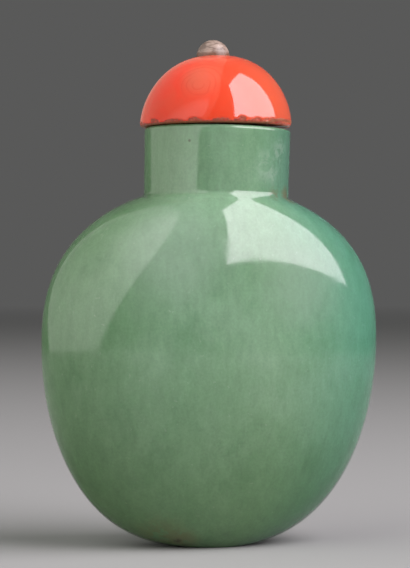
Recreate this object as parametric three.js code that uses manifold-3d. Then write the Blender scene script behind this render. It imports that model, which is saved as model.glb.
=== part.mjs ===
// A snuff bottle: a flattened, egg-shaped jadeite body hollowed through its round neck, a domed coral
// stopper that rests on the lip, and a small pearl set in the top of the dome.
// Units are millimetres, +Z is up, and the broad front faces -Y. The origin is under the foot, midway
// across the body at its widest level.

import * as THREE from 'three';
import Module from 'manifold-3d';
import { mergeVertices } from 'three/addons/utils/BufferGeometryUtils.js';

// ---- Driving dimensions -------------------------------------------------------------------------

const BODY = {
  halfWidth: 22.84, // at the widest level, along X
  halfDepth: 13.5, // at the widest level, along Y
  widestZ: 26.34,
  shoulderZ: 45.65, // where the shoulder's curve meets the neck's radius
  lean: 0.0115, // slope of its centre line towards +X
};
const FOOT = { halfWidth: 5.4, halfDepth: 4.8 };
// Exponents of the curves from the widest level to the neck: the depth holds longer, then turns in faster.
const WIDTH_CURVE = { rise: 2.495, round: 2.03 };
const DEPTH_CURVE = { rise: 4.0, round: 3.0 };
const LOWER_CURVE = { rise: 1.95, round: 2.64 }; // from widest level to foot, both ways

const NECK = {
  rootRadius: 9.56,
  lipRadius: 9.66,
  rootZ: 46.5, // where the fillet ends and the plain neck begins
  lipZ: 54.7,
  rootX: 0.7, // the neck stands a little to +X of the body's centre line
  lean: 0.022, // and leans further that way, as a slope
  tiltFromZ: 38, // above this the levels tip over too, until the lip is square to the lean
  fillet: 0.5, // how softly the shoulder runs into it
  joinHalfHeight: 0.5, // over which the centre line moves from the body's to the neck's
  lipRound: 0.45,
};

const WALL = 2.6;
const CAVITY = { floorZ: 3.9, topZ: 42.9, floorHalfWidth: 5.0, floorHalfDepth: 3.6, fillet: 1.2 };
const MOUTH = { radius: 4.2, bellRound: 0.5 };

const CAP = {
  rimRadius: 10.0,
  undersideZ: 54.95, // a hair above the high side of the tilted lip
  rimZ: 55.37, // the widest level, just above the rounded lower edge
  apexZ: 64.46,
  rimX: 0.63, // it sits a little off the neck's centre
  lean: 0.022,
  curve: { rise: 1.72, round: 2.37 },
  edgeRound: 0.42,
};

const PEARL = { radius: 2.2, centreX: 0.25, centreZ: 64.27, lowerZ: 63.2, seatGap: 0.05 };

const ROUND_SEGMENTS = { bottle: 64, cap: 48, pearl: 24 };
const ARC_STEPS = 3; // on each small rounded edge

// ---- Outlines -----------------------------------------------------------------------------------

const QUARTER_TURN = Math.PI / 2;

// Size of a swelling at a distance from its widest level, as a superellipse that shrinks from `full`
// at distance 0 to `end` at distance `span`.
function swelling(distance, full, end, span, curve) {
  const reach = span / (1 - (end / full) ** curve.round) ** (1 / curve.rise);
  const left = 1 - Math.min(1, Math.abs(distance) / reach) ** curve.rise;
  return full * left ** (1 / curve.round);
}

// The larger of two sizes, with a soft corner where they cross.
function softMax(first, second, softness) {
  return (first + second + Math.hypot(first - second, softness)) / 2;
}

function smoothStep(value, low, high) {
  return THREE.MathUtils.smoothstep(value, low, high);
}

// Centre line of the neck at a height.
function neckX(z) {
  return NECK.rootX + NECK.lean * (z - NECK.rootZ);
}

// Centre line of the whole bottle, which moves over from the body's line to the neck's.
function centreX(z) {
  const bodyX = BODY.lean * (z - BODY.widestZ);
  const low = BODY.shoulderZ - NECK.joinHalfHeight;
  const high = BODY.shoulderZ + NECK.joinHalfHeight;
  return THREE.MathUtils.lerp(bodyX, neckX(z), smoothStep(z, low, high));
}

function neckRadius(z) {
  return THREE.MathUtils.mapLinear(z, NECK.rootZ, NECK.lipZ, NECK.rootRadius, NECK.lipRadius);
}

// Half-size of the outside at a height, along X or along Y, from its full and foot sizes and its upper curve.
function outerHalf(z, full, foot, upper) {
  if (z <= BODY.widestZ) {
    return swelling(BODY.widestZ - z, full, foot, BODY.widestZ, LOWER_CURVE);
  }
  const rise = BODY.shoulderZ - BODY.widestZ;
  const body = swelling(z - BODY.widestZ, full, NECK.rootRadius, rise, upper);
  const fadeIn = smoothStep(z, BODY.widestZ, BODY.shoulderZ);
  const fadeOut = 1 - smoothStep(z, BODY.shoulderZ, NECK.rootZ);
  return softMax(body, neckRadius(z), NECK.fillet * fadeIn * fadeOut);
}

// Half-size of the cavity at a height, along X or along Y.
function innerHalf(z, full, floor, upper) {
  const width = full - WALL;
  if (z <= BODY.widestZ) {
    return swelling(BODY.widestZ - z, width, floor, BODY.widestZ - CAVITY.floorZ, LOWER_CURVE);
  }
  const rise = CAVITY.topZ - BODY.widestZ;
  const body = swelling(z - BODY.widestZ, width, MOUTH.radius, rise, upper);
  return softMax(body, MOUTH.radius, CAVITY.fillet * smoothStep(z, BODY.widestZ, CAVITY.topZ));
}

// Heights from `low` to `high`, closer together towards the end named by `dense`.
function heights(low, high, steps, dense) {
  return Array.from({ length: steps + 1 }, (_, step) => {
    const turn = (QUARTER_TURN * step) / steps;
    const share = dense === 'low' ? 1 - Math.cos(turn) : Math.sin(turn);
    return THREE.MathUtils.lerp(low, high, share);
  });
}

// Stations around a quarter-round edge centred at (radius, z), from one angle to another.
function roundedEdge(radius, z, edge, fromAngle, toAngle) {
  return Array.from({ length: ARC_STEPS + 1 }, (_, step) => {
    const angle = THREE.MathUtils.lerp(fromAngle, toAngle, step / ARC_STEPS);
    const size = radius + edge * Math.cos(angle);
    return { halfX: size, halfY: size, z: z + edge * Math.sin(angle) };
  });
}

// ---- Solids -------------------------------------------------------------------------------------

// Revolves stations {halfX, halfY, z, shiftX} about Z, then draws each one out to its own oval.
function ovalLathe(stations, segments) {
  const profile = stations.map((station) => new THREE.Vector2(station.halfX, station.z));
  const geometry = new THREE.LatheGeometry(profile, segments);
  geometry.rotateX(QUARTER_TURN);
  const position = geometry.attributes.position;
  for (let index = 0; index < position.count; index += 1) {
    const station = stations[index % stations.length];
    const oval = station.halfX > 0 ? station.halfY / station.halfX : 1;
    position.setX(index, position.getX(index) + (station.shiftX ?? 0));
    position.setY(index, position.getY(index) * oval);
  }
  return geometry;
}

function bottleStations() {
  const outer = (z) => ({
    halfX: outerHalf(z, BODY.halfWidth, FOOT.halfWidth, WIDTH_CURVE),
    halfY: outerHalf(z, BODY.halfDepth, FOOT.halfDepth, DEPTH_CURVE),
    z,
  });
  const inner = (z) => ({
    halfX: innerHalf(z, BODY.halfWidth, CAVITY.floorHalfWidth, WIDTH_CURVE),
    halfY: innerHalf(z, BODY.halfDepth, CAVITY.floorHalfDepth, DEPTH_CURVE),
    z,
  });
  const lipEdge = NECK.lipRadius - NECK.lipRound;
  const mouthEdge = MOUTH.radius + MOUTH.bellRound;
  return [
    { halfX: 0, halfY: 0, z: 0 },
    ...heights(0, BODY.widestZ, 13, 'low').map(outer),
    ...heights(BODY.widestZ, BODY.shoulderZ, 12, 'high').slice(1, -1).map(outer),
    ...heights(BODY.shoulderZ, NECK.rootZ, 4, 'low').map(outer),
    ...roundedEdge(lipEdge, NECK.lipZ - NECK.lipRound, NECK.lipRound, 0, QUARTER_TURN),
    ...roundedEdge(mouthEdge, NECK.lipZ - MOUTH.bellRound, MOUTH.bellRound, QUARTER_TURN, Math.PI),
    ...heights(BODY.widestZ, CAVITY.topZ, 9, 'high').reverse().map(inner),
    ...heights(CAVITY.floorZ, BODY.widestZ, 9, 'low').reverse().slice(1).map(inner),
    { halfX: 0, halfY: 0, z: CAVITY.floorZ },
  ].map((station) => ({ ...station, shiftX: centreX(station.z) }));
}

// Tips the upper levels down towards +X, the lip the most.
function tipOver(geometry) {
  const position = geometry.attributes.position;
  for (let index = 0; index < position.count; index += 1) {
    const z = position.getZ(index);
    const slope = NECK.lean * smoothStep(z, NECK.tiltFromZ, NECK.lipZ);
    position.setZ(index, z - slope * (position.getX(index) - centreX(z)));
  }
  return geometry;
}

function bottleGeometry() {
  return tipOver(ovalLathe(bottleStations(), ROUND_SEGMENTS.bottle));
}

function capStations() {
  const rise = CAP.apexZ - CAP.rimZ;
  const dome = heights(CAP.rimZ, CAP.apexZ, 12, 'high').map((z) => {
    const radius = swelling(z - CAP.rimZ, CAP.rimRadius, 0, rise, CAP.curve);
    return { halfX: radius, halfY: radius, z };
  });
  const edgeCentre = CAP.rimRadius - CAP.edgeRound;
  const edgeZ = CAP.undersideZ + CAP.edgeRound;
  return [
    { halfX: 0, halfY: 0, z: CAP.undersideZ },
    ...roundedEdge(edgeCentre, edgeZ, CAP.edgeRound, -QUARTER_TURN, 0).slice(0, -1),
    ...dome,
  ].map((station) => ({ ...station, shiftX: CAP.rimX + CAP.lean * (station.z - CAP.rimZ) }));
}

// A ball cut flat below `lowerZ`, grown by `grow` all over.
function pearlGeometry(grow) {
  const radius = PEARL.radius + grow;
  const lowerZ = PEARL.lowerZ - grow;
  const lowerAngle = Math.asin((lowerZ - PEARL.centreZ) / radius);
  const steps = 8;
  const ball = Array.from({ length: steps + 1 }, (_, step) => {
    const angle = THREE.MathUtils.lerp(lowerAngle, QUARTER_TURN, step / steps);
    const size = step === steps ? 0 : radius * Math.cos(angle);
    return { halfX: size, halfY: size, z: PEARL.centreZ + radius * Math.sin(angle) };
  });
  const stations = [{ halfX: 0, halfY: 0, z: lowerZ }, ...ball];
  return ovalLathe(stations.map((station) => ({ ...station, shiftX: PEARL.centreX })),
    ROUND_SEGMENTS.pearl);
}

// ---- Cutting ------------------------------------------------------------------------------------

const wasm = await Module();
wasm.setup();

function toManifold(geometry) {
  const bare = geometry.clone();
  bare.deleteAttribute('normal');
  bare.deleteAttribute('uv');
  const merged = mergeVertices(bare);
  const triVerts = Uint32Array.from(merged.index.array);
  const vertProperties = Float32Array.from(merged.attributes.position.array);
  return new wasm.Manifold(new wasm.Mesh({ numProp: 3, vertProperties, triVerts }));
}

function toGeometry(manifold) {
  const mesh = manifold.getMesh();
  const geometry = new THREE.BufferGeometry();
  geometry.setAttribute('position', new THREE.BufferAttribute(mesh.vertProperties, 3));
  geometry.setIndex(new THREE.BufferAttribute(mesh.triVerts, 1));
  geometry.computeVertexNormals();
  return geometry;
}

// The dome with a shallow seat sunk in its top, where the pearl sits.
function capGeometry() {
  const dome = toManifold(ovalLathe(capStations(), ROUND_SEGMENTS.cap));
  const seat = toManifold(pearlGeometry(PEARL.seatGap));
  return toGeometry(dome.subtract(seat));
}

// ---- Assembly -----------------------------------------------------------------------------------

function piece(name, geometry, color, roughness) {
  const material = new THREE.MeshStandardMaterial({ color, roughness, metalness: 0 });
  const mesh = new THREE.Mesh(geometry, material);
  mesh.name = name;
  return mesh;
}

const stopper = new THREE.Group();
stopper.add(piece('stopper_cap', capGeometry(), 0xe8482a, 0.12));
stopper.add(piece('stopper_pearl', pearlGeometry(0), 0xa89890, 0.3));

const snuffBottle = new THREE.Group();
snuffBottle.add(piece('bottle', bottleGeometry(), 0x84a888, 0.15));
snuffBottle.add(stopper);

export default snuffBottle;
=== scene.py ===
"""The looks of a jadeite snuff bottle with a coral stopper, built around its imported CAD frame.

The bottle is a flattened egg hollowed through its neck, the stopper cap a chipped coral dome, and the
pearl a small bead sunk in the top of the dome. All sizes are in metres, in the frame's own axes: +Z is up
and the broad front faces -Y.
"""

import logging
import math
from dataclasses import dataclass, field, replace
from enum import Enum
from typing import Optional, Sequence, Union

import bmesh
import bpy
from mathutils import Matrix, Vector, noise


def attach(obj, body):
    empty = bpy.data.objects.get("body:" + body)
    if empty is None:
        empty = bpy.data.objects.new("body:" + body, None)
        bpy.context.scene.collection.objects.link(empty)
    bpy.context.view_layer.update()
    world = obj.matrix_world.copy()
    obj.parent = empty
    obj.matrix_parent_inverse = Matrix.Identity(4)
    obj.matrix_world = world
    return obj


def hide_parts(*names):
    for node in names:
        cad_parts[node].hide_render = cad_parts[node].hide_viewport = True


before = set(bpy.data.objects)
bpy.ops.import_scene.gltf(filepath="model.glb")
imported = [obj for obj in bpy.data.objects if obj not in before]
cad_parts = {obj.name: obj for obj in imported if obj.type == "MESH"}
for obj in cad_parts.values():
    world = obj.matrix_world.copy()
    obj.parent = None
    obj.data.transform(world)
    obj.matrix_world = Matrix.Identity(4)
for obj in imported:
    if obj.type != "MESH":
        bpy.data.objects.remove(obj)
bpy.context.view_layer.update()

log = logging.getLogger("snuff_bottle")

MM = 0.001
BODY = "root"
SIDE = "side"
# How worn each point of the cap's edge is, with the painted shade of its brown line.
WEAR_AND_SHADE = "wear"
WELD = 1e-4 * MM
QUARTER_TURN = math.pi / 2
FULL_TURN = 2 * math.pi

Colour = tuple[float, float, float]
Point = tuple[float, float, float]
Span = tuple[float, float]
Value = Union[float, tuple[float, ...], bpy.types.NodeSocket]

WHITE: Colour = (1.0, 1.0, 1.0)


# ---- Outlines -----------------------------------------------------------------------------------


def smooth_step(value: float, low: float, high: float) -> float:
    """Returns 0 below low, 1 above high, and an easy S between them."""
    share = min(1.0, max(0.0, (value - low) / (high - low)))
    return share * share * (3 - 2 * share)


def mix(low: float, high: float, share: float) -> float:
    """Returns the value that lies that share of the way from low to high."""
    return low + (high - low) * share


def to_share(value: float) -> float:
    """Returns a value from -1 to 1 as a share from 0 to 1."""
    return 0.5 + 0.5 * value


def soft_max(first: float, second: float, softness: float) -> float:
    """Returns the larger of two sizes, with a soft corner where they cross."""
    return (first + second + math.hypot(first - second, softness)) / 2


class Dense(Enum):
    """The end of a range where heights lie closer together."""

    LOW = "low"
    HIGH = "high"


def heights(low: float, high: float, steps: int, dense: Dense) -> list[float]:
    """Lists heights across a range, closer together towards one end.

    Args:
        low: The lowest height.
        high: The highest height.
        steps: How many gaps lie between the heights.
        dense: The end where they lie closer.

    Returns:
        The heights, from low to high.
    """
    turns = [QUARTER_TURN * step / steps for step in range(steps + 1)]
    if dense is Dense.LOW:
        return [mix(low, high, 1 - math.cos(turn)) for turn in turns]
    return [mix(low, high, math.sin(turn)) for turn in turns]


@dataclass(frozen=True)
class SwellingCurve:
    """The exponents of a superellipse that shrinks away from its widest level."""

    rise: float
    round: float

    def size(self, distance: float, full: float, end: float, span: float) -> float:
        """Gives the half-size at a distance from the widest level.

        Args:
            distance: How far above or below the widest level.
            full: The half-size at the widest level.
            end: The half-size at the far end of the span.
            span: The distance at which the half-size is `end`.

        Returns:
            The half-size there.
        """
        reach = span / (1 - (end / full) ** self.round) ** (1 / self.rise)
        left = 1 - min(1.0, abs(distance) / reach) ** self.rise
        return full * left ** (1 / self.round)


@dataclass(frozen=True)
class Station:
    """One level of a turned piece: its half-sizes along X and Y, its height and its centre's X."""

    half_x: float
    half_y: float
    z: float
    centre_x: float = 0.0


def round_station(radius: float, z: float, centre_x: float = 0.0) -> Station:
    """Returns a station with a round section."""
    return Station(radius, radius, z, centre_x)


def edge_arc(radius: float, z: float, edge: float, start: float, end: float, steps: int) -> list[Station]:
    """Rounds an edge of a turned piece.

    Args:
        radius: The radius at which the arc's centre lies.
        z: The height of the arc's centre.
        edge: The arc's own radius.
        start: The angle the arc starts at, from outwards, in radians.
        end: The angle it ends at.
        steps: How many facets it has.

    Returns:
        Its stations, in order.
    """
    angles = [mix(start, end, step / steps) for step in range(steps + 1)]
    return [round_station(radius + edge * math.cos(a), z + edge * math.sin(a)) for a in angles]


# ---- Meshes -------------------------------------------------------------------------------------


def spin_stations(stations: Sequence[Station], steps: int) -> bmesh.types.BMesh:
    """Spins an outline about Z and draws each level out to its own oval.

    Every point keeps how far round it lies, from -1 at the -X side to 1 at the +X side.

    Args:
        stations: The outline, from the axis below round to the axis again.
        steps: How many segments lie around the axis.

    Returns:
        A closed mesh whose faces point outwards.
    """
    mesh = bmesh.new()
    oval = mesh.verts.layers.float.new("oval")
    centre = mesh.verts.layers.float.new("centre")
    last = None
    for station in stations:
        vert = mesh.verts.new((station.half_x, 0, station.z))
        vert[oval] = station.half_y / station.half_x if station.half_x > 0 else 1
        vert[centre] = station.centre_x
        if last is not None:
            mesh.edges.new((last, vert))
        last = vert
    outline = mesh.verts[:] + mesh.edges[:]
    bmesh.ops.spin(mesh, geom=outline, cent=(0, 0, 0), axis=(0, 0, 1), dvec=(0, 0, 0), angle=FULL_TURN,
                   steps=steps, use_merge=True, use_duplicate=False)
    side = mesh.verts.layers.float.new(SIDE)
    for vert in mesh.verts:
        reach = math.hypot(vert.co.x, vert.co.y)
        vert[side] = vert.co.x / reach if reach > 0 else 0
        vert.co.y *= vert[oval]
        vert.co.x += vert[centre]
    bmesh.ops.remove_doubles(mesh, verts=mesh.verts[:], dist=WELD)
    bmesh.ops.recalc_face_normals(mesh, faces=mesh.faces[:])
    return mesh


def to_object(mesh: bmesh.types.BMesh, name: str, material: bpy.types.Material) -> bpy.types.Object:
    """Makes a smooth-shaded object at the origin from a mesh and frees the mesh.

    Args:
        mesh: The mesh, in the frame's axes.
        name: The object's name.
        material: Its finish.

    Returns:
        The object, linked to the scene.
    """
    data = bpy.data.meshes.new(name)
    mesh.to_mesh(data)
    mesh.free()
    data.shade_smooth()
    data.materials.append(material)
    piece = bpy.data.objects.new(name, data)
    bpy.context.scene.collection.objects.link(piece)
    return piece


def set_in_frame(piece: bpy.types.Object, node: str) -> None:
    """Rides a piece on the frame's body in place of its CAD node.

    Args:
        piece: The finished piece.
        node: The CAD node that it stands for.
    """
    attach(piece, BODY)
    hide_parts(node)


# ---- Materials ----------------------------------------------------------------------------------


@dataclass(frozen=True)
class Cloud:
    """A layer of soft noise, and how much of it shows.

    One cloud is `size` metres across and has `detail` finer layers, as strong as `roughness` says, swirled
    by `distortion`. The layer is squeezed along the axes by `stretch` and moved by `offset`, so that no two
    are alike. Where the noise goes from `low` to `high`, the layer goes from `start` to `end`.
    """

    size: float
    detail: float = 3.0
    roughness: float = 0.55
    distortion: float = 0.0
    stretch: Point = (1, 1, 1)
    offset: Point = (0, 0, 0)
    low: float = 0.0
    high: float = 1.0
    start: float = 0.0
    end: float = 1.0


@dataclass
class NodeSheet:
    """The node tree of one material, with short ways to add and join nodes."""

    name: str
    material: bpy.types.Material = field(init=False)
    tree: bpy.types.NodeTree = field(init=False)
    shader: bpy.types.Node = field(init=False)
    output: bpy.types.Node = field(init=False)
    place: bpy.types.NodeSocket = field(init=False)

    def __post_init__(self) -> None:
        """Makes the material with its shader, output and object coordinates."""
        self.material = bpy.data.materials.new(self.name)
        self.material.use_nodes = True
        self.tree = self.material.node_tree
        self.tree.nodes.clear()
        self.shader = self.add("ShaderNodeBsdfPrincipled")
        self.output = self.add("ShaderNodeOutputMaterial")
        self.tree.links.new(self.shader.outputs["BSDF"], self.output.inputs["Surface"])
        self.place = self.add("ShaderNodeTexCoord").outputs["Object"]

    def add(self, kind: str, settings: Optional[dict[str, object]] = None, **inputs: Value) -> bpy.types.Node:
        """Adds a node.

        Args:
            kind: The node's type.
            settings: Its properties, by name.
            **inputs: Values or sockets for its inputs, with _ for a space in a name.

        Returns:
            The node.
        """
        node = self.tree.nodes.new(kind)
        for name, value in (settings or {}).items():
            setattr(node, name, value)
        for name, value in inputs.items():
            self.feed(node.inputs[name.replace("_", " ")], value)
        return node

    def feed(self, socket: bpy.types.NodeSocket, value: Value) -> None:
        """Joins a socket to another, or sets it to a plain value.

        Args:
            socket: The input.
            value: The other node's output, or the plain value.
        """
        if isinstance(value, bpy.types.NodeSocket):
            self.tree.links.new(value, socket)
        else:
            socket.default_value = value

    def dress(self, **inputs: Value) -> bpy.types.Material:
        """Sets the shader's own inputs.

        Args:
            **inputs: Values or sockets, with _ for a space in a name.

        Returns:
            The material.
        """
        for name, value in inputs.items():
            self.feed(self.shader.inputs[name.replace("_", " ")], value)
        return self.material

    def maths(self, operation: str, first: Value, second: Value = 0.0) -> bpy.types.NodeSocket:
        """Works out one sum.

        Args:
            operation: The Math node's operation.
            first: The first number.
            second: The second number, where the operation has one.

        Returns:
            The result's socket.
        """
        node = self.add("ShaderNodeMath", {"operation": operation})
        self.feed(node.inputs[0], first)
        self.feed(node.inputs[1], second)
        return node.outputs[0]

    def blend(self, share: Value, first: Value, second: Value, mode: str = "MIX") -> bpy.types.NodeSocket:
        """Mixes two colours.

        Args:
            share: How much of the second shows.
            first: The colour below.
            second: The colour above.
            mode: The Mix node's blend type.

        Returns:
            The mixed colour's socket.
        """
        node = self.add("ShaderNodeMix", {"data_type": "RGBA", "blend_type": mode})
        self.feed(node.inputs[0], share)
        for socket, value in ((node.inputs[6], first), (node.inputs[7], second)):
            self.feed(socket, (*value, 1.0) if isinstance(value, tuple) else value)
        return node.outputs[2]

    def shade(self, share: Value, colour: Value, tint: Value) -> bpy.types.NodeSocket:
        """Returns a colour multiplied by a tint where the share is 1, and unchanged where it is 0."""
        return self.blend(share, colour, tint, "MULTIPLY")

    def ramp(self, value: Value, low: float, high: float, start: float = 0.0,
             end: float = 1.0) -> bpy.types.NodeSocket:
        """Maps a value smoothly from one range to another.

        Args:
            value: The value.
            low: Where its range begins.
            high: Where its range ends.
            start: What it becomes at and below the beginning.
            end: What it becomes at and above the end.

        Returns:
            The mapped value's socket.
        """
        node = self.add("ShaderNodeMapRange", {"interpolation_type": "SMOOTHSTEP"}, Value=value)
        for name, number in (("From Min", low), ("From Max", high), ("To Min", start), ("To Max", end)):
            node.inputs[name].default_value = number
        return node.outputs[0]

    def noise(self, cloud: Cloud) -> bpy.types.NodeSocket:
        """Adds soft noise.

        Args:
            cloud: Its pattern.

        Returns:
            The noise's socket, about 0.5 on average.
        """
        place = self.add("ShaderNodeMapping", {"vector_type": "POINT"}, Vector=self.place,
                         Scale=cloud.stretch, Location=cloud.offset)
        node = self.add("ShaderNodeTexNoise", Vector=place.outputs[0], Scale=1 / cloud.size,
                        Detail=cloud.detail, Roughness=cloud.roughness, Distortion=cloud.distortion)
        return node.outputs["Fac"]

    def layer(self, cloud: Cloud) -> bpy.types.NodeSocket:
        """Returns how much of a cloud shows at each point."""
        return self.ramp(self.noise(cloud), cloud.low, cloud.high, cloud.start, cloud.end)

    def marked(self, name: str) -> bpy.types.NodeSocket:
        """Returns a number that the mesh keeps at each point."""
        return self.add("ShaderNodeAttribute", {"attribute_name": name}).outputs["Fac"]

    def axis(self, name: str) -> bpy.types.NodeSocket:
        """Returns one of the object coordinates, "X", "Y" or "Z"."""
        return self.add("ShaderNodeSeparateXYZ", Vector=self.place).outputs[name]

    def distance(self, place: bpy.types.NodeSocket, centre: Point) -> bpy.types.NodeSocket:
        """Measures how far a place lies from a point.

        Args:
            place: The place's socket.
            centre: The point.

        Returns:
            The distance's socket, in metres.
        """
        node = self.add("ShaderNodeVectorMath", {"operation": "DISTANCE"})
        self.feed(node.inputs[0], place)
        self.feed(node.inputs[1], centre)
        return node.outputs["Value"]

    def near(self, centre: Point, reach: Span, scale: float = 1.0) -> bpy.types.NodeSocket:
        """Finds what lies near a point.

        Args:
            centre: The point.
            reach: The distances within which the share is 1 and beyond which it is 0.
            scale: What a distance of 1 stands for, in metres.

        Returns:
            The share's socket.
        """
        inner, outer = reach
        return self.ramp(self.distance(self.place, centre), inner * scale, outer * scale, 1.0, 0.0)

    def relief(self, height: Value, depth: float,
               over: Optional[bpy.types.NodeSocket] = None) -> bpy.types.NodeSocket:
        """Adds a bump.

        Args:
            height: The relief's height, from 0 to 1.
            depth: What a height of 1 stands for, in metres.
            over: The normal of an earlier bump that this one lies over.

        Returns:
            The normal.
        """
        node = self.add("ShaderNodeBump", Height=height, Strength=1.0, Distance=depth)
        if over is not None:
            self.feed(node.inputs["Normal"], over)
        return node.outputs[0]


class MarkColour(Enum):
    """The colours of small marks in the stone. PALE also paints one soft glow of light on the shoulder."""

    RUST = (0.17, 0.1, 0.045)
    BARK = (0.05, 0.045, 0.02)
    OLIVE = (0.125, 0.125, 0.04)
    PALE = (0.36, 0.45, 0.38)


@dataclass(frozen=True)
class Mark:
    """A small stain in the stone, or a soft patch of painted light. The lower its cover, the less of it is
    torn away.
    """

    centre: Point
    size: float
    strength: float
    colour: MarkColour
    cover: float


def mark_at(x: float, y: float, z: float, size: float, strength: float, colour: MarkColour,
            cover: float) -> Mark:
    """Returns a stain whose place and size are given in millimetres."""
    return Mark((x * MM, y * MM, z * MM), size * MM, strength, colour, cover)


@dataclass(frozen=True)
class JadeiteFinish:
    """Polished celadon-green jadeite: soft clouds, fine fibres, pale flecks, a few stains and one painted
    glow.

    Painted shade darkens the stone towards the foot, on the lit right side (partly the teal the stone shows
    at that edge), on the neck's right and on the left side. The fades of the foot and the neck are shares of
    the bottle's height, and those of the two sides say how far round the bottle they lie.
    """

    green: Colour = (0.172, 0.316, 0.181)
    pale: Colour = (0.212, 0.357, 0.225)
    deep: Colour = (0.131, 0.264, 0.144)
    fleck: Colour = (0.42, 0.52, 0.42)
    fibre_tints: tuple[Colour, Colour] = ((0.5, 0.52, 0.5), (1.5, 1.46, 1.5))
    grain_tints: tuple[Colour, Colour] = ((0.5, 0.5, 0.5), (1.5, 1.5, 1.5))
    clouds: Cloud = Cloud(11 * MM, 4, 0.6, 0.2, low=0.34, high=0.7)
    wisps: Cloud = Cloud(5 * MM, 3, 0.6, 0.4, (1, 1, 0.7), (0.05, 0.02, 0.07), low=0.48, high=0.78, end=0.6)
    fibres: Cloud = Cloud(1.0 * MM, 3, 0.65, 0.3, (1, 1, 0.34), (0.01, 0.0, 0.03))
    grain: Cloud = Cloud(0.32 * MM, 2, 0.6)
    flecks: Cloud = Cloud(0.85 * MM, 3, 0.7, offset=(0.3, 0.1, 0.2), low=0.64, high=0.78, end=0.4)
    fibre_strength: float = 0.42
    grain_strength: float = 0.32
    # Painted shade: tints for the foot, the lit right side (partly the teal the stone shows there), the
    # neck's right and the left side.
    foot_painted_shade: Colour = (0.5, 0.6, 0.4)
    right_painted_shade: Colour = (0.4, 0.74, 0.77)
    neck_painted_shade: Colour = (0.92, 0.76, 0.76)
    left_painted_shade: Colour = (0.74, 0.79, 0.66)
    foot_fade: Span = (0.02, 0.6)
    neck_fade: Span = (0.81, 0.87)
    right_fade: Span = (0.1, 0.98)
    left_fade: Span = (-1.0, -0.35)
    torn: Cloud = Cloud(1.4 * MM, 4, 0.7, 0.6, offset=(0.2, 0.4, 0.1))
    torn_fade: float = 0.16
    mark_reach: Span = (0.2, 1.0)
    shine: Cloud = Cloud(2.5 * MM, 4, 0.7, low=0.35, high=0.75, start=0.07, end=0.16)
    ripples: Cloud = Cloud(4.5 * MM, 2, 0.5)
    ripple_depth: float = 0.012 * MM
    pits: Cloud = Cloud(0.5 * MM, 3, 0.6, offset=(0.6, 0.2, 0.1), low=0.66, high=0.8, start=1.0, end=0.0)
    pit_depth: float = 0.004 * MM
    ior: float = 1.66
    softness: float = 0.5
    scatter: float = 1.6 * MM
    scatter_colour: Colour = (0.7, 1.0, 0.8)

    def clouded(self, sheet: NodeSheet) -> bpy.types.NodeSocket:
        """Mixes the stone's own greens.

        Args:
            sheet: The material's node tree.

        Returns:
            The colour, before painted shade darkens it towards the foot and the sides.
        """
        colour = sheet.blend(sheet.layer(self.clouds), self.pale, self.green)
        colour = sheet.blend(sheet.layer(self.wisps), colour, self.deep)
        fibres = sheet.blend(sheet.noise(self.fibres), *self.fibre_tints)
        colour = sheet.shade(self.fibre_strength, colour, fibres)
        grain = sheet.blend(sheet.noise(self.grain), *self.grain_tints)
        colour = sheet.shade(self.grain_strength, colour, grain)
        return sheet.blend(sheet.layer(self.flecks), colour, self.fleck)

    def shaded(self, sheet: NodeSheet, colour: bpy.types.NodeSocket, height: float) -> bpy.types.NodeSocket:
        """Paints shade into the stone's colour towards its foot, on its two narrow sides and on the neck's
        right.

        Args:
            sheet: The material's node tree.
            colour: The clouded colour.
            height: The bottle's height.

        Returns:
            The shaded colour.
        """
        up = sheet.maths("DIVIDE", sheet.axis("Z"), height)
        side = sheet.marked(SIDE)
        right = sheet.ramp(side, *self.right_fade)
        neck = sheet.maths("MULTIPLY", right, sheet.ramp(up, *self.neck_fade))
        # Painted shade: darker towards the foot, on the lit right side, on the neck's right and on the left
        # side.
        colour = sheet.shade(sheet.ramp(up, *self.foot_fade, 1.0, 0.0), colour, self.foot_painted_shade)
        colour = sheet.shade(right, colour, self.right_painted_shade)
        colour = sheet.shade(neck, colour, self.neck_painted_shade)
        return sheet.shade(sheet.ramp(side, *self.left_fade, 1.0, 0.0), colour, self.left_painted_shade)

    def with_stains_and_glow(self, sheet: NodeSheet, colour: bpy.types.NodeSocket,
                marks: Sequence[Mark]) -> bpy.types.NodeSocket:
        """Lays small stains, and a painted glow, over the stone.

        Args:
            sheet: The material's node tree.
            colour: The colour below.
            marks: The stains, and the painted glow.

        Returns:
            The stained colour.
        """
        ragged = sheet.noise(self.torn)
        for mark in marks:
            patch = sheet.near(mark.centre, self.mark_reach, mark.size)
            torn = sheet.ramp(ragged, mark.cover, mark.cover + self.torn_fade, 0.0, mark.strength)
            colour = sheet.blend(sheet.maths("MULTIPLY", patch, torn), colour, mark.colour.value)
        return colour

    def material(self, height: float, marks: Sequence[Mark]) -> bpy.types.Material:
        """Makes the jadeite.

        Args:
            height: The bottle's height, over which painted shade darkens the green downwards.
            marks: Its stains, and the painted glow.

        Returns:
            The material.
        """
        sheet = NodeSheet("jadeite")
        colour = self.with_stains_and_glow(sheet, self.shaded(sheet, self.clouded(sheet), height), marks)
        ripple = sheet.relief(sheet.noise(self.ripples), self.ripple_depth)
        pitted = sheet.relief(sheet.layer(self.pits), self.pit_depth, ripple)
        return sheet.dress(Base_Color=colour, Roughness=sheet.layer(self.shine), IOR=self.ior,
                           Subsurface_Weight=self.softness, Subsurface_Radius=self.scatter_colour,
                           Subsurface_Scale=self.scatter, Normal=pitted)


@dataclass(frozen=True)
class Rings:
    """Growth rings about a point of the coral, a gap apart."""

    centre: Point
    gap: float


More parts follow.
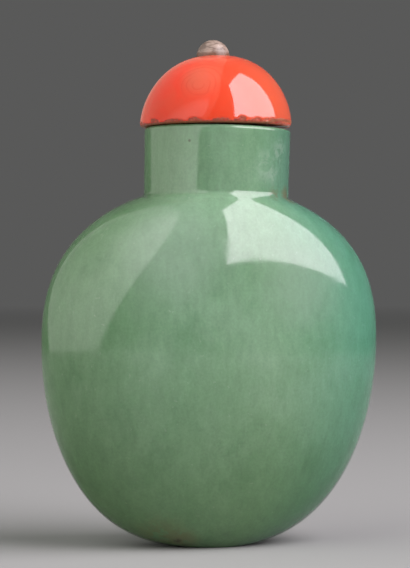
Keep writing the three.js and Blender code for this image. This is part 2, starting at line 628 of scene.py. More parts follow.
@dataclass(frozen=True)
class CoralFinish:
    """Polished orange-red coral with pale growth rings, painted shade that makes its lit right side darker
    and pinker, and a brown lower edge that is partly wear and partly painted shade.

    The reaches of the rings are counted in their gaps, and the fades of the edge in how worn and shaded it
    is.
    """

    red: Colour = (0.95, 0.045, 0.009)
    blush: Colour = (0.88, 0.07, 0.024)
    pink: Colour = (0.6, 0.1, 0.045)
    rose: Colour = (0.76, 0.12, 0.06)
    ring_red: Colour = (0.66, 0.035, 0.012)
    # Brown of the lower edge: part wear, part painted shade under the rim.
    worn_and_shaded: Colour = (0.3, 0.075, 0.024)
    bared: Colour = (0.5, 0.1, 0.045)
    dark_red: Colour = (0.38, 0.03, 0.012)
    clouds: Cloud = Cloud(6 * MM, 4, 0.55, 0.4, low=0.42, high=0.68, end=0.8)
    bands: Cloud = Cloud(2.2 * MM, 3, 0.5, 0.3, (1, 1, 0.25), low=0.5, high=0.75, end=0.4)
    # Painted shade: the lit right side is darker and pinker red.
    lit_side_shade_fade: Span = (-8 * MM, 6 * MM)
    lit_side_shade_strength: float = 0.9
    rose_reach: Span = (1.5, 4.5)
    ring_reach: Span = (2, 5)
    heart_reach: Span = (0.8, 2.4)
    ring_line: Span = (0.2, 1.0)
    ring_strength: float = 0.3
    wobble: float = 1.6 * MM
    wobble_size: float = 4 * MM
    ragged: Cloud = Cloud(0.5 * MM, 3, 0.7, low=0.3, high=0.7, start=-0.25, end=0.25)
    broken: Cloud = Cloud(0.6 * MM, 3, 0.7, low=0.4, high=0.6)
    bared_fade: Span = (0.32, 0.5)
    worn_and_shaded_fade: Span = (0.68, 0.9)
    dull_fade: Span = (0.34, 0.54)
    roughness: float = 0.08
    dull_roughness: float = 0.5
    ripples: Cloud = Cloud(3 * MM, 2, 0.5)
    ripple_depth: float = 0.006 * MM
    ior: float = 1.68
    softness: float = 0.3
    scatter: float = 1.4 * MM
    scatter_colour: Colour = (1.0, 0.3, 0.15)

    def ringed(self, sheet: NodeSheet, colour: bpy.types.NodeSocket, rings: Rings) -> bpy.types.NodeSocket:
        """Draws fine growth rings in a rosy patch.

        Args:
            sheet: The material's node tree.
            colour: The colour below.
            rings: The rings.

        Returns:
            The ringed colour.
        """
        swirl = sheet.add("ShaderNodeTexNoise", Vector=sheet.place, Scale=1 / self.wobble_size)
        wobbly = sheet.blend(self.wobble, sheet.place, swirl.outputs["Color"], "ADD")
        turns = sheet.maths("MULTIPLY", sheet.distance(wobbly, rings.centre), FULL_TURN / rings.gap)
        wave = sheet.ramp(sheet.maths("SINE", turns), *self.ring_line)
        heart = sheet.near(rings.centre, self.heart_reach, rings.gap)
        outer = sheet.maths("SUBTRACT", sheet.near(rings.centre, self.ring_reach, rings.gap), heart)
        lines = sheet.maths("MULTIPLY", sheet.maths("MULTIPLY", wave, outer), self.ring_strength)
        colour = sheet.blend(sheet.near(rings.centre, self.rose_reach, rings.gap), colour, self.rose)
        return sheet.blend(lines, colour, self.ring_red)

    def material(self, growth: Sequence[Rings]) -> bpy.types.Material:
        """Makes the coral.

        Args:
            growth: Its growth rings, one group after another.

        Returns:
            The material.
        """
        sheet = NodeSheet("coral")
        colour = sheet.blend(sheet.layer(self.clouds), self.red, self.blush)
        colour = sheet.blend(sheet.layer(self.bands), colour, self.blush)
        # Painted shade: darker, pinker red towards the lit right side.
        lit_side_shade = sheet.ramp(sheet.axis("X"), *self.lit_side_shade_fade, 0.0, self.lit_side_shade_strength)
        colour = sheet.blend(lit_side_shade, colour, self.pink)
        for rings in growth:
            colour = self.ringed(sheet, colour, rings)
        # How worn the lower edge is, with the painted shade of its brown line.
        wear = sheet.maths("ADD", sheet.marked(WEAR_AND_SHADE), sheet.layer(self.ragged))
        chipped = sheet.blend(sheet.layer(self.broken), self.dark_red, self.bared)
        colour = sheet.blend(sheet.ramp(wear, *self.bared_fade), colour, chipped)
        colour = sheet.blend(sheet.ramp(wear, *self.worn_and_shaded_fade), colour, self.worn_and_shaded)
        shine = sheet.ramp(wear, *self.dull_fade, self.roughness, self.dull_roughness)
        ripple = sheet.relief(sheet.noise(self.ripples), self.ripple_depth)
        return sheet.dress(Base_Color=colour, Roughness=shine, IOR=self.ior,
                           Subsurface_Weight=self.softness, Subsurface_Radius=self.scatter_colour,
                           Subsurface_Scale=self.scatter, Normal=ripple)


@dataclass(frozen=True)
class PearlFinish:
    """A dull grey-pink pearl with fine level streaks and a brown line where it is bedded."""

    grey: Colour = (0.17, 0.115, 0.09)
    pink: Colour = (0.4, 0.3, 0.245)
    bed: Colour = (0.16, 0.07, 0.035)
    streaks: Cloud = Cloud(0.55 * MM, 4, 0.6, 0.8, (0.5, 0.5, 1.3))
    streak_fade: Span = (0.36, 0.62)
    clouds: Cloud = Cloud(1.3 * MM, 2, 0.5, low=0.4, high=0.65, end=0.4)
    bed_rise: Span = (0.2 * MM, 0.62 * MM)
    bed_strength: float = 0.9
    streak_depth: float = 0.02 * MM
    roughness: float = 0.4
    ior: float = 1.6

    def material(self, bed_z: float) -> bpy.types.Material:
        """Makes the pearl.

        Args:
            bed_z: The height of the line where it meets the coral.

        Returns:
            The material.
        """
        sheet = NodeSheet("pearl")
        streaks = sheet.noise(self.streaks)
        colour = sheet.blend(sheet.ramp(streaks, *self.streak_fade), self.grey, self.pink)
        colour = sheet.blend(sheet.layer(self.clouds), colour, self.grey)
        low, high = self.bed_rise
        bedded = sheet.ramp(sheet.axis("Z"), bed_z + low, bed_z + high, self.bed_strength, 0.0)
        return sheet.dress(Base_Color=sheet.blend(bedded, colour, self.bed), Roughness=self.roughness,
                           IOR=self.ior, Normal=sheet.relief(streaks, self.streak_depth))


# ---- The bottle ---------------------------------------------------------------------------------


@dataclass
class Bottle:
    """The jadeite bottle: body, neck, lip, mouth and cavity as one closed skin."""

    node: str = "bottle"
    half_width: float = 22.84 * MM
    half_depth: float = 13.5 * MM
    widest_z: float = 26.34 * MM
    shoulder_z: float = 45.65 * MM
    body_lean: float = 0.0115
    foot_half_width: float = 5.4 * MM
    foot_half_depth: float = 4.8 * MM
    width_curve: SwellingCurve = SwellingCurve(2.495, 2.03)
    depth_curve: SwellingCurve = SwellingCurve(4.0, 3.0)
    lower_curve: SwellingCurve = SwellingCurve(1.95, 2.64)
    root_radius: float = 9.56 * MM
    lip_radius: float = 9.66 * MM
    root_z: float = 46.5 * MM
    lip_z: float = 54.7 * MM
    root_x: float = 0.7 * MM
    neck_lean: float = 0.022
    tilt_from_z: float = 38 * MM
    fillet: float = 0.5 * MM
    join_half_height: float = 0.5 * MM
    lip_round: float = 0.45 * MM
    wall: float = 2.6 * MM
    floor_z: float = 3.9 * MM
    cavity_top_z: float = 42.9 * MM
    floor_half_width: float = 5.0 * MM
    floor_half_depth: float = 3.6 * MM
    cavity_fillet: float = 1.2 * MM
    mouth_radius: float = 4.2 * MM
    mouth_round: float = 0.5 * MM
    foot_rings: tuple[float, ...] = (0, 0.5, 0.96)
    lower_steps: int = 56
    upper_steps: int = 64
    join_steps: int = 10
    neck_steps: int = 16
    lip_steps: int = 8
    mouth_steps: int = 6
    bore_steps: int = 8
    cavity_steps: int = 30
    around: int = 176
    marks: tuple[Mark, ...] = (
        # Painted light: a soft pale glow on the left shoulder, where light from above reflects.
        mark_at(-8.56, -10.6, 39.2, 10.0, 0.3, MarkColour.PALE, 0.0),
        # A soft, untorn paler patch on the right front.
        mark_at(8.1, -11.9, 34.5, 8.0, 0.25, MarkColour.PALE, 0.0),
        mark_at(-8.2, -4.8, 1.9, 5.2, 0.45, MarkColour.OLIVE, 0.36),
        mark_at(-5.6, -5.6, 1.2, 3.0, 0.5, MarkColour.OLIVE, 0.3),
        mark_at(-6.2, -5.0, 1.2, 0.8, 0.9, MarkColour.BARK, 0.4),
        mark_at(-8.0, -4.6, 1.7, 0.6, 0.7, MarkColour.BARK, 0.4),
        mark_at(8.4, -6.2, 45.6, 2.0, 0.6, MarkColour.RUST, 0.34),
        mark_at(6.0, -8.0, 45.7, 1.6, 0.4, MarkColour.RUST, 0.4),
        mark_at(-5.36, -7.38, 52.66, 0.3, 0.75, MarkColour.BARK, 0.2),
        mark_at(4.5, -8.9, 49.6, 2.6, 0.3, MarkColour.PALE, 0.46),
        mark_at(6.9, -7.4, 51.4, 2.4, 0.3, MarkColour.PALE, 0.46),
        mark_at(6.0, -8.2, 48.2, 1.6, 0.3, MarkColour.PALE, 0.42),
        mark_at(-9.0, 4.0, 2.0, 4.0, 0.5, MarkColour.OLIVE, 0.4),
        mark_at(7.0, 9.0, 38.0, 4.0, 0.3, MarkColour.PALE, 0.5),
    )

    def neck_x(self, z: float) -> float:
        """Returns the X of the neck's centre line at a height."""
        return self.root_x + self.neck_lean * (z - self.root_z)

    def centre_x(self, z: float) -> float:
        """Gives the X of the whole bottle's centre line.

        Args:
            z: The height.

        Returns:
            The body's X below the neck's root, and the neck's X above it.
        """
        body_x = self.body_lean * (z - self.widest_z)
        low, high = self.shoulder_z - self.join_half_height, self.shoulder_z + self.join_half_height
        return mix(body_x, self.neck_x(z), smooth_step(z, low, high))

    def neck_radius(self, z: float) -> float:
        """Returns the neck's radius at a height."""
        return mix(self.root_radius, self.lip_radius, (z - self.root_z) / (self.lip_z - self.root_z))

    def outer_half(self, z: float, full: float, foot: float, upper: SwellingCurve) -> float:
        """Gives the outside's half-size at a height.

        Args:
            z: The height.
            full: The half-size at the widest level.
            foot: The half-size of the foot.
            upper: The curve from the widest level to the neck.

        Returns:
            The half-size.
        """
        if z <= self.widest_z:
            return self.lower_curve.size(self.widest_z - z, full, foot, self.widest_z)
        rise = self.shoulder_z - self.widest_z
        body = upper.size(z - self.widest_z, full, self.root_radius, rise)
        fade_in = smooth_step(z, self.widest_z, self.shoulder_z)
        fade_out = 1 - smooth_step(z, self.shoulder_z, self.root_z)
        return soft_max(body, self.neck_radius(z), self.fillet * fade_in * fade_out)

    def inner_half(self, z: float, full: float, floor: float, upper: SwellingCurve) -> float:
        """Gives the cavity's half-size at a height.

        Args:
            z: The height.
            full: The outside's half-size at the widest level.
            floor: The half-size of the cavity's floor.
            upper: The curve from the widest level to the mouth.

        Returns:
            The half-size.
        """
        if z <= self.widest_z:
            depth = self.widest_z - self.floor_z
            return self.lower_curve.size(self.widest_z - z, full - self.wall, floor, depth)
        rise = self.cavity_top_z - self.widest_z
        body = upper.size(z - self.widest_z, full - self.wall, self.mouth_radius, rise)
        softness = self.cavity_fillet * smooth_step(z, self.widest_z, self.cavity_top_z)
        return soft_max(body, self.mouth_radius, softness)

    def outside(self, z: float) -> Station:
        """Returns the outside's station at a height."""
        return Station(self.outer_half(z, self.half_width, self.foot_half_width, self.width_curve),
                       self.outer_half(z, self.half_depth, self.foot_half_depth, self.depth_curve), z)

    def inside(self, z: float) -> Station:
        """Returns the cavity's station at a height."""
        return Station(self.inner_half(z, self.half_width, self.floor_half_width, self.width_curve),
                       self.inner_half(z, self.half_depth, self.floor_half_depth, self.depth_curve), z)

    def outline(self) -> list[Station]:
        """Lists the levels of the skin.

        Returns:
            The stations, from the middle of the foot up the outside, over the lip, and down the mouth and
            the cavity to the middle of its floor.
        """
        foot = [Station(share * self.foot_half_width, share * self.foot_half_depth, 0)
                for share in self.foot_rings]
        edge_z, mouth_z = self.lip_z - self.lip_round, self.lip_z - self.mouth_round
        lip = edge_arc(self.lip_radius - self.lip_round, edge_z, self.lip_round,
                       0, QUARTER_TURN, self.lip_steps)
        mouth = edge_arc(self.mouth_radius + self.mouth_round, mouth_z, self.mouth_round,
                         QUARTER_TURN, math.pi, self.mouth_steps)
        bore = heights(self.cavity_top_z, mouth_z, self.bore_steps, Dense.LOW)
        upper_cavity = heights(self.widest_z, self.cavity_top_z, self.cavity_steps, Dense.HIGH)[:-1]
        lower_cavity = heights(self.floor_z, self.widest_z, self.cavity_steps, Dense.LOW)[:-1]
        levels = [
            *foot,
            *map(self.outside, heights(0, self.widest_z, self.lower_steps, Dense.LOW)),
            *map(self.outside, heights(self.widest_z, self.shoulder_z, self.upper_steps, Dense.HIGH)[1:-1]),
            *map(self.outside, heights(self.shoulder_z, self.root_z, self.join_steps, Dense.LOW)),
            *map(self.outside, heights(self.root_z, edge_z, self.neck_steps, Dense.LOW)[1:-1]),
            *lip,
            *mouth[:-1],
            *(round_station(self.mouth_radius, z) for z in reversed(bore)),
            *map(self.inside, reversed(upper_cavity)),
            *map(self.inside, reversed(lower_cavity)),
            Station(0, 0, self.floor_z),
        ]
        return [Station(s.half_x, s.half_y, s.z, self.centre_x(s.z)) for s in levels]

    def tip_over(self, mesh: bmesh.types.BMesh) -> None:
        """Tips the upper levels down towards +X, the lip the most.

        Args:
            mesh: The skin.
        """
        for vert in mesh.verts:
            slope = self.neck_lean * smooth_step(vert.co.z, self.tilt_from_z, self.lip_z)
            vert.co.z -= slope * (vert.co.x - self.centre_x(vert.co.z))

    def build(self) -> bpy.types.Object:
        """Makes the bottle and sets it in the frame.

        Returns:
            The bottle.
        """
        mesh = spin_stations(self.outline(), self.around)
        self.tip_over(mesh)
        piece = to_object(mesh, "jade_bottle", JadeiteFinish().material(self.lip_z, self.marks))
        set_in_frame(piece, self.node)
        return piece


# ---- The stopper --------------------------------------------------------------------------------


@dataclass
class Pearl:
    """The bead in the top of the stopper, cut flat where it is bedded.

    Its furrows run upright and wander a little. The grain and the two numbers of the dents say how fast
    the noise behind them changes: over a metre, around the bead and up it.
    """

    node: str = "stopper_pearl"
    radius: float = 2.2 * MM
    centre_x: float = 0.25 * MM
    centre_z: float = 64.27 * MM
    lower_z: float = 63.2 * MM
    seat_gap: float = 0.05 * MM
    steps: int = 40
    around: int = 120
    furrows: int = 13
    furrow_depth: float = 0.018 * MM
    furrow_share: float = 0.6
    furrow_wander: float = 2.0
    wander_grain: float = 900.0
    dents_around: float = 2.6
    dents_up: float = 160.0

    def profile(self, grow: float, steps: int) -> list[Station]:
        """Lists the levels of the bead from its flat bed to its top.

        Args:
            grow: How much larger than the bead the outline is, all over.
            steps: How many levels it has.

        Returns:
            The stations, without the middle of the flat bed.
        """
        radius = self.radius + grow
        low = math.asin((self.lower_z - grow - self.centre_z) / radius)
        angles = [mix(low, QUARTER_TURN, step / steps) for step in range(steps + 1)]
        return [round_station(radius * max(0.0, math.cos(angle)), self.centre_z + radius * math.sin(angle),
                              self.centre_x) for angle in angles]

    def furrow(self, mesh: bmesh.types.BMesh) -> None:
        """Presses shallow upright furrows and dents into the bead.

        Args:
            mesh: The bead.
        """
        centre = Vector((self.centre_x, 0, self.centre_z))
        for vert in mesh.verts:
            out = vert.co - centre
            side = math.hypot(out.x, out.y) / self.radius
            turn = math.atan2(out.y, out.x)
            spot = Vector((self.dents_around * math.cos(turn), self.dents_around * math.sin(turn),
                           out.z * self.dents_up))
            dent = to_share(noise.noise(spot))
            wander = self.furrow_wander * noise.noise(out * self.wander_grain)
            ridge = to_share(math.sin(turn * self.furrows + wander))
            vert.co -= out.normalized() * side * self.furrow_depth * (dent + self.furrow_share * ridge)

    def build(self) -> bpy.types.Object:
        """Makes the bead and sets it in the frame.

        Returns:
            The bead.
        """
        outline = [round_station(0, self.lower_z, self.centre_x), *self.profile(0, self.steps)]
        top = outline[-1]
        outline[-1] = round_station(0, top.z, top.centre_x)
        mesh = spin_stations(outline, self.around)
        self.furrow(mesh)
        piece = to_object(mesh, "pearl_bead", PearlFinish().material(self.centre_z))
        set_in_frame(piece, self.node)
        return piece


@dataclass(frozen=True)
class Chip:
    """A flake lost from the cap's lower edge: where it is, in degrees, and how big it is."""

    azimuth: float
    half_width: float
    height: float
    depth: float

    def share(self, azimuth: float, height: float) -> float:
        """Gives how deep within the flake a point lies.

        Args:
            azimuth: The point's angle from -Y towards +X, in degrees.
            height: Its height above the cap's underside.

        Returns:
            1 at the flake's heart, 0 outside it.
        """
        across = ((azimuth - self.azimuth + 180) % 360 - 180) / self.half_width
        up = height / self.height
        return max(0.0, 1 - across * across - up ** 3)


@dataclass(frozen=True)
class EdgeWear:
    """How the cap's lower edge is worn, with flakes, small nicks and a fine roughness, and its brown line,
    which is partly wear and partly painted shade under the rim.

    The line lifts off the underside between two azimuths, in degrees. The grains say how fast the noise
    changes over a metre, or over a degree for the nicks, and the fades where wear begins and is full.
    """

    top: float = 2 * MM
    rim_share: float = 0.93
    shade_line_fade: Span = (0.14 * MM, 0.308 * MM)
    shade_line_lift: float = 0.62 * MM
    lift_from: Span = (16, 40)
    lift_to: Span = (80, 110)
    coarse_grain: float = 1500.0
    fine_grain: float = 3800.0
    fine_share: float = 0.6
    rough_depth: float = 0.02 * MM
    raggedness: float = 0.6
    sway: float = 4.0
    sway_grain: float = 900.0
    nick_grain: float = 0.11
    nick_row: float = 3.1
    nick_top: float = 0.7 * MM
    nick_depth: float = 0.14 * MM
    nick_fade: Span = (0.12, 0.4)
    flake_fade: Span = (0.02, 0.3)
    flake_slope: Span = (0, 0.7)
    flake_wear: float = 0.62

    def rough(self, place: Vector) -> float:
        """Returns how the surface's fine roughness stands at a place."""
        return noise.noise(place * self.coarse_grain) + self.fine_share * noise.noise(place * self.fine_grain)

    def swayed(self, azimuth: float, place: Vector) -> float:
        """Returns an azimuth moved a little to and fro, so that the flakes' edges are uneven."""
        return azimuth + self.sway * noise.noise(place * self.sway_grain)

    def nick(self, azimuth: float, height: float) -> float:
        """Gives how deep a small nick is.

        Args:
            azimuth: The point's angle from -Y towards +X, in degrees.
            height: Its height above the cap's underside.

        Returns:
            0 where there is none, and up to 1.
        """
        along = noise.noise(Vector((azimuth * self.nick_grain, self.nick_row, 0.0)))
        return max(0.0, along) * max(0.0, 1 - height / self.nick_top)

    def line(self, azimuth: float, height: float) -> float:
        """Gives how much of the brown line shows: partly wear, partly painted shade under the rim.

        Args:
            azimuth: The point's angle from -Y towards +X, in degrees.
            height: Its height above the cap's underside.

        Returns:
            1 on the line, 0 off it.
        """
        risen, fallen = smooth_step(azimuth, *self.lift_from), smooth_step(azimuth, *self.lift_to)
        lift = self.shade_line_lift * risen * (1 - fallen)
        return 1 - smooth_step(abs(height - lift), *self.shade_line_fade)


@dataclass
class CoralCap:
    """The coral dome of the stopper, with a seat for the bead in its top and a chipped lower edge."""

    bead: Pearl
    node: str = "stopper_cap"
    rim_radius: float = 10.0 * MM
    underside_z: float = 54.95 * MM
    rim_z: float = 55.37 * MM
    apex_z: float = 64.46 * MM
    rim_x: float = 0.63 * MM
    lean: float = 0.022
    curve: SwellingCurve = SwellingCurve(1.72, 2.37)
    edge_round: float = 0.42 * MM
    worn_rise: float = 1.6 * MM
    seat_radius: float = 2.3 * MM
    seat_lip: float = 0.03 * MM
    underside_rings: tuple[float, ...] = (0, 0.4, 0.8, 0.92)
    edge_steps: int = 10
    worn_steps: int = 16
    dome_steps: int = 80
    seat_steps: int = 30
    around: int = 360
    growth: tuple[Rings, ...] = (
        Rings((0.4 * MM, -1.2 * MM, 64.6 * MM), 1.25 * MM),
        Rings((-3.52 * MM, -6.71 * MM, 60.85 * MM), 0.8 * MM),
    )
    wear: EdgeWear = EdgeWear()
    chips: tuple[Chip, ...] = (
        Chip(-72, 7, 0.85 * MM, 0.14 * MM),
        Chip(-52, 10, 0.6 * MM, 0.1 * MM),
        Chip(-34, 8, 0.75 * MM, 0.13 * MM),
        Chip(-14, 10, 0.66 * MM, 0.1 * MM),
        Chip(1.5, 6, 1.0 * MM, 0.16 * MM),
        Chip(13.5, 6, 0.85 * MM, 0.15 * MM),
        Chip(29, 12, 0.85 * MM, 0.18 * MM),
        Chip(46, 9, 0.75 * MM, 0.15 * MM),
        Chip(74, 7, 0.8 * MM, 0.14 * MM),
        Chip(103, 6, 1.1 * MM, 0.2 * MM),
        Chip(138, 9, 0.75 * MM, 0.14 * MM),
        Chip(171, 6, 1.05 * MM, 0.2 * MM),
        Chip(206, 8, 0.8 * MM, 0.14 * MM),
        Chip(238, 6, 1.2 * MM, 0.2 * MM),
        Chip(262, 9, 0.7 * MM, 0.12 * MM),
    )

    def centre_x(self, z: float) -> float:
        """Returns the X of the dome's leaning axis at a height."""
        return self.rim_x + self.lean * (z - self.rim_z)

    def dome_radius(self, z: float) -> float:
        """Returns the dome's radius at a height."""
        return self.curve.size(z - self.rim_z, self.rim_radius, 0, self.apex_z - self.rim_z)

    def outline(self) -> list[Station]:
        """Lists the dome's levels.

        Returns:
            The stations, from the middle of the underside up the dome and down into the bead's seat.
        """
        edge = edge_arc(self.rim_radius - self.edge_round, self.underside_z + self.edge_round,
                        self.edge_round, -QUARTER_TURN, 0, self.edge_steps)
        worn_top = self.rim_z + self.worn_rise
        low = [mix(self.rim_z, worn_top, step / self.worn_steps) for step in range(self.worn_steps + 1)]
        upper = heights(worn_top, self.apex_z, self.dome_steps, Dense.HIGH)[1:]
        high = [z for z in upper if self.dome_radius(z) > self.seat_radius]
        levels = [round_station(share * self.rim_radius, self.underside_z) for share in self.underside_rings]
        levels += edge[:-1] + [round_station(self.dome_radius(z), z) for z in (*low, *high)]
        leaning = [round_station(s.half_x, s.z, self.centre_x(s.z)) for s in levels]
        seat = self.bead.profile(self.bead.seat_gap, self.seat_steps)
        rim = [s for s in seat if s.z < leaning[-1].z - self.seat_lip]
        return [*leaning, *reversed(rim), round_station(0, rim[0].z, self.bead.centre_x)]

    def wear_edge(self, mesh: bmesh.types.BMesh) -> None:
        """Presses the chips into the lower edge and marks how worn each point is, with the painted shade of
        the brown line.

        Args:
            mesh: The cap.
        """
        wear = self.wear
        worn_and_shaded = mesh.verts.layers.float.new(WEAR_AND_SHADE)
        for vert in mesh.verts:
            height = vert.co.z - self.underside_z
            if height > wear.top:
                continue
            out = Vector((vert.co.x - self.rim_x, vert.co.y, 0))
            azimuth = math.degrees(math.atan2(out.x, -out.y))
            rough, nick = wear.rough(vert.co), wear.nick(azimuth, height)
            swayed = wear.swayed(azimuth, vert.co)
            share, depth = max((chip.share(swayed, height), chip.depth) for chip in self.chips)
            share -= wear.raggedness * abs(rough)
            flake = max(smooth_step(share, *wear.flake_fade), smooth_step(nick, *wear.nick_fade))
            # Wear of the flakes, and the brown line, part of which is painted shade.
            vert[worn_and_shaded] = max(wear.line(azimuth, height), wear.flake_wear * flake)
            if out.length > self.rim_radius * wear.rim_share:
                inward = depth * smooth_step(share, *wear.flake_slope) + wear.nick_depth * nick
                inward += wear.rough_depth * rough * vert[worn_and_shaded]
                vert.co -= out.normalized() * max(0.0, inward)

    def build(self) -> bpy.types.Object:
        """Makes the cap and sets it in the frame.

        Returns:
            The cap.
        """
        mesh = spin_stations(self.outline(), self.around)
        self.wear_edge(mesh)
        piece = to_object(mesh, "coral_cap", CoralFinish().material(self.growth))
        set_in_frame(piece, self.node)
        return piece


# ---- The studio ---------------------------------------------------------------------------------


def point_around(azimuth: float, elevation: float, distance: float) -> Vector:
    """Finds a point around the frame's origin.

    Args:
        azimuth: The angle from -Y towards +X, in degrees.
        elevation: The angle above the floor, in degrees.
        distance: How far away it is, in metres.

    Returns:
        The point.
    """
    turn, rise = math.radians(azimuth), math.radians(elevation)
    level = math.cos(rise)
    return distance * Vector((math.sin(turn) * level, -math.cos(turn) * level, math.sin(rise)))


class Face(Enum):
    """The shape of a soft light's face."""

    SQUARE = "RECTANGLE"
    ROUND = "ELLIPSE"


@dataclass(frozen=True)
class Fade:
    """How a soft light's face dims towards one side: the way it brightens, and where it is dim and full."""

    across: float
    up: float
    dim_at: float
    full_at: float
    dim: float

    def shade(self, light: bpy.types.Light, middle: Vector, way: Vector) -> None:
        """Dims the light's face.

        Args:
            light: The light.
            middle: The middle of its face.
            way: The direction in which it brightens.
        """
        light.use_nodes = True
        tree = light.node_tree
        place = tree.nodes.new("ShaderNodeNewGeometry")
        along = tree.nodes.new("ShaderNodeVectorMath")
        along.operation = "DOT_PRODUCT"
        along.inputs[1].default_value = way
        tree.links.new(place.outputs["Position"], along.inputs[0])
        level = tree.nodes.new("ShaderNodeMapRange")
        level.interpolation_type = "SMOOTHSTEP"
        offset = middle.dot(way)
        limits = (self.dim_at + offset, self.full_at + offset, self.dim, 1.0)
        for name, number in zip(("From Min", "From Max", "To Min", "To Max"), limits):
            level.inputs[name].default_value = number
        tree.links.new(along.outputs["Value"], level.inputs["Value"])
        tree.links.new(level.outputs["Result"], tree.nodes["Emission"].inputs["Strength"])


@dataclass(frozen=True)
class SoftPanel:
    """A flat soft light beside the bottle: its place, the way it faces, and how bright its face is."""

    name: str
    azimuth: float
    distance: float
    middle_z: float
    facing: float
    width: float
    height: float
    radiance: float
    face: Face = Face.SQUARE
    tilt: float = 0.0
    roll: float = 0.0
    fade: Optional[Fade] = None
    colour: Colour = WHITE

    def hang(self) -> bpy.types.Object:
        """Hangs the light with its face towards the bottle.

        Returns:
            The light.
        """
        light = bpy.data.lights.new(self.name, "AREA")
        light.shape = self.face.value
        light.size, light.size_y = self.width, self.height
        area = self.width * self.height * (math.pi / 4 if self.face is Face.ROUND else 1)
        light.energy = self.radiance * math.pi * area
        light.color = self.colour
        lamp = bpy.data.objects.new(self.name, light)
        lamp.location = point_around(self.azimuth, 0, self.distance) + Vector((0, 0, self.middle_z))
        away = point_around(self.facing, self.tilt, 1)
        turn = math.radians(self.facing)
        across = Vector((math.cos(turn), math.sin(turn), 0))
        upright = Matrix((across, away.cross(across), away)).transposed()
        if self.fade is not None:
            self.fade.shade(light, lamp.location, across * self.fade.across + Vector((0, 0, self.fade.up)))
        lamp.rotation_euler = (upright @ Matrix.Rotation(math.radians(self.roll), 3, "Z")).to_euler()
        bpy.context.scene.collection.objects.link(lamp)
        return lamp


class Reach(Enum):
    """Which pieces a light falls on: one alone, or all but one."""

    ONLY = "INCLUDE"
    ALL_BUT = "EXCLUDE"


def aim(lamp: bpy.types.Object, piece: bpy.types.Object, reach: Reach) -> None:
    """Keeps a light to one piece, or off it.

    Args:
        lamp: The light.
        piece: The piece.
        reach: Whether the light falls on that piece alone or on all the others.
    """
    group = bpy.data.collections.new(f"{lamp.name}_reach")
    group.objects.link(piece)
    group.collection_objects[0].light_linking.link_state = reach.value
    lamp.light_linking.receiver_collection = group


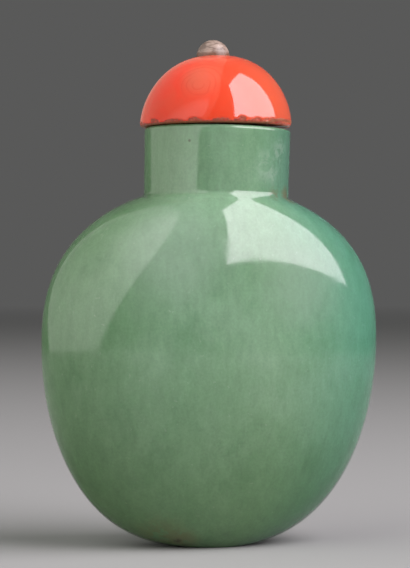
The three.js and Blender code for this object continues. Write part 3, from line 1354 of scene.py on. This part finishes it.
@dataclass
class Studio:
    """The floor, the air around, the lights and the camera.

    The round light on the left reaches all but the stopper's cap. On the cap a dimmer twin and a wide warm
    wash stand in for it.
    """

    right_softbox: SoftPanel = SoftPanel(
        "right_softbox", azimuth=44.3, distance=0.474, middle_z=0.719, facing=62.3, width=0.757, height=1.15,
        radiance=6.0, roll=-5.7, colour=(1.0, 0.945, 1.0),
        fade=Fade(across=-1.0, up=0.0, dim_at=-0.38, full_at=0.3, dim=0.72))
    left_round: SoftPanel = SoftPanel(
        "left_round", azimuth=-94.0, distance=0.585, middle_z=1.353, facing=-99.2, width=2.809, height=2.858,
        radiance=1.58, face=Face.ROUND, colour=(1.0, 1.0, 0.95),
        fade=Fade(across=1.0, up=-0.3, dim_at=-0.5, full_at=0.8, dim=0.28))
    twin_radiance: float = 0.6
    twin_fade: Fade = Fade(across=1.0, up=-1.0, dim_at=1.0, full_at=1.4, dim=0.12)
    left_wash: SoftPanel = SoftPanel(
        "left_wash_on_cap", azimuth=-110.0, distance=0.5, middle_z=0.3, facing=-110.0, width=5.0, height=5.0,
        radiance=0.55, tilt=18.0, colour=(1.0, 0.62, 0.48))
    camera_azimuth: float = -18.0
    camera_distance: float = 300 * MM
    camera_z: float = 34.26 * MM
    camera_left: float = 0.825 * MM
    lens: float = 144.0
    nearest: float = 0.01
    farthest: float = 20.0
    floor_size: float = 30.0
    floor_sides: int = 64
    floor_roughness: float = 0.7
    floor_colour: Colour = (0.36, 0.36, 0.355)
    floor_reach: Span = (0.4, 3.5)
    air_colour: Colour = (0.2, 0.2, 0.198)
    air_strength: float = 0.5

    def lay_floor(self) -> None:
        """Lays a wide pale floor that fades into the air far away."""
        mesh = bmesh.new()
        bmesh.ops.create_circle(mesh, cap_ends=True, radius=self.floor_size, segments=self.floor_sides)
        sheet = NodeSheet("pale_floor")
        material = sheet.dress(Base_Color=(*self.floor_colour, 1.0), Roughness=self.floor_roughness)
        air = sheet.add("ShaderNodeEmission", Color=(*self.air_colour, 1.0), Strength=self.air_strength)
        joint = sheet.add("ShaderNodeMixShader")
        sheet.feed(joint.inputs[0], sheet.near((0, 0, 0), self.floor_reach))
        sheet.feed(joint.inputs[1], air.outputs[0])
        sheet.feed(joint.inputs[2], sheet.shader.outputs["BSDF"])
        sheet.feed(sheet.output.inputs["Surface"], joint.outputs[0])
        to_object(mesh, "floor", material)

    def fill_air(self) -> None:
        """Sets an even, plain light all around."""
        world = bpy.data.worlds.new("air")
        world.use_nodes = True
        background = world.node_tree.nodes["Background"]
        background.inputs["Color"].default_value = (*self.air_colour, 1.0)
        background.inputs["Strength"].default_value = self.air_strength
        bpy.context.scene.world = world

    def hang_lights(self, cap: bpy.types.Object) -> None:
        """Hangs the bright soft light on the right and the dim ones on the left.

        Args:
            cap: The stopper's cap, which has the left light's twin and the wash to itself.
        """
        self.right_softbox.hang()
        left = self.left_round.hang()
        twin = replace(self.left_round, name="left_round_on_cap", radiance=self.twin_radiance,
                       fade=self.twin_fade, colour=WHITE).hang()
        wash = self.left_wash.hang()
        aim(left, cap, Reach.ALL_BUT)
        aim(twin, cap, Reach.ONLY)
        aim(wash, cap, Reach.ONLY)

    def set_camera(self) -> None:
        """Sets a level camera in front of the bottle, turned a little to its left."""
        back = point_around(self.camera_azimuth, 0, 1)
        right = Vector((-back.y, back.x, 0))
        camera = bpy.data.cameras.new("camera")
        camera.lens = self.lens
        camera.clip_start, camera.clip_end = self.nearest, self.farthest
        stand = bpy.data.objects.new("camera", camera)
        level = back * self.camera_distance - right * self.camera_left
        stand.location = level + Vector((0, 0, self.camera_z))
        stand.rotation_euler = (QUARTER_TURN, 0, math.radians(self.camera_azimuth))
        bpy.context.scene.collection.objects.link(stand)
        bpy.context.scene.camera = stand

    def build(self, cap: bpy.types.Object) -> None:
        """Makes the whole studio.

        Args:
            cap: The stopper's cap, which is lit on its own from the left.
        """
        self.lay_floor()
        self.fill_air()
        self.hang_lights(cap)
        self.set_camera()
        bpy.context.scene.view_settings.view_transform = "Standard"


# ---- Assembly -----------------------------------------------------------------------------------


def main() -> None:
    """Builds the stopper, the bottle and the studio, and reports each piece."""
    logging.basicConfig(level=logging.INFO, format="%(name)s: %(message)s")
    bead = Pearl()
    cap = CoralCap(bead).build()
    for piece in (cap, Bottle().build(), bead.build()):
        log.info("%s: %d faces", piece.name, len(piece.data.polygons))
    Studio().build(cap)
    log.info("studio: floor, air, lights and camera")


if __name__ == "__main__":
    main()
